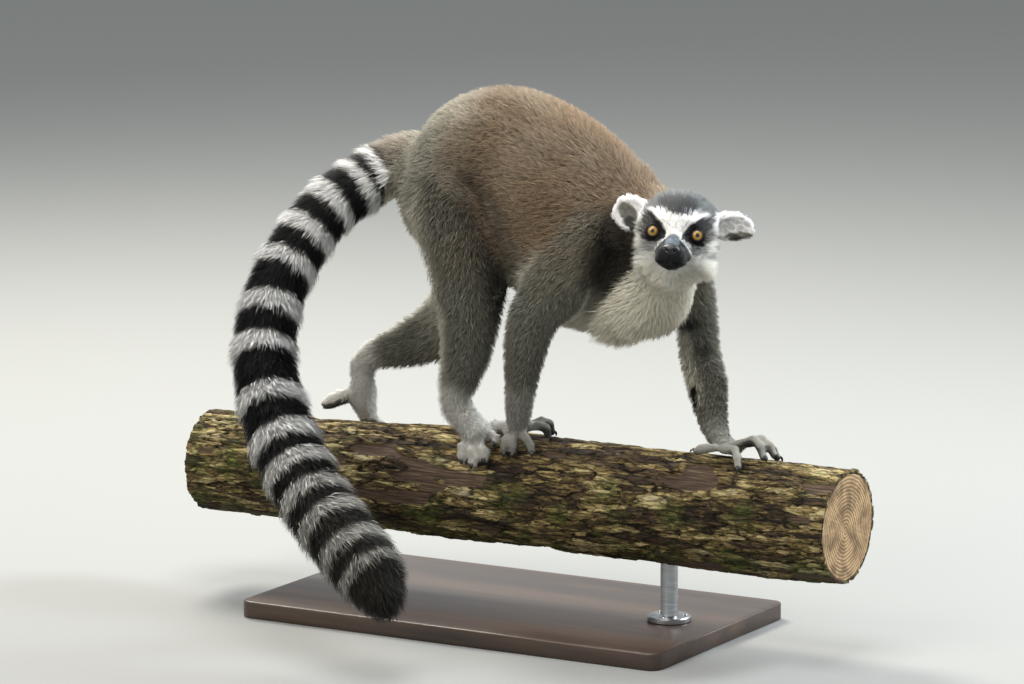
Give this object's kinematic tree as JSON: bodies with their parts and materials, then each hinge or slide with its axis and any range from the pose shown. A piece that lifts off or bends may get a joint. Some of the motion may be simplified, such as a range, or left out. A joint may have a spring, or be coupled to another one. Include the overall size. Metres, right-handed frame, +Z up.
{
  "type": "ring-tailed lemur, still model",
  "caption": "Still life-size model of a ring-tailed lemur walking along a cut log on a display stand, head turned, ringed tail hanging to one side.",
  "frame": {"origin": "middle of the underside of the stand's base, on the floor", "axes": "+X the way the animal walks along the log, +Y its left, +Z up"},
  "size_m": [0.675, 0.4158, 0.5001],
  "materials": {
    "coat_grey": "dense grey fur, each hair banded light and dark",
    "coat_brown": "dense grey-brown fur with a rufous cast",
    "coat_white": "soft white to cream fur",
    "coat_ringed": "long black fur ringed with white",
    "eye": "glossy amber eye with a round black pupil",
    "bark": "rough flaking bark with moss",
    "plinth": "dark stained wood, satin",
    "rod": "brushed steel"
  },
  "bodies": {
    "root": {"trunk": "coat_brown", "neck": "coat_white", "head": "coat_grey", "eye_right": "eye", "ear_right": "coat_white", "upper_arm_right": "coat_grey", "forearm_right": "coat_grey", "thigh_right": "coat_grey", "shank_right": "coat_grey", "hand_right": "coat_white", "foot_right": "coat_white", "eye_left": "eye", "ear_left": "coat_white", "upper_arm_left": "coat_grey", "forearm_left": "coat_grey", "thigh_left": "coat_grey", "shank_left": "coat_grey", "hand_left": "coat_white", "foot_left": "coat_white", "tail_1": "coat_ringed", "tail_2": "coat_ringed", "tail_3": "coat_ringed", "tail_4": "coat_ringed", "tail_5": "coat_ringed", "perch_log": "bark", "stand_base": "plinth", "stand_rod_back": "rod", "stand_rod_front": "rod"}
  },
  "joints": []
}
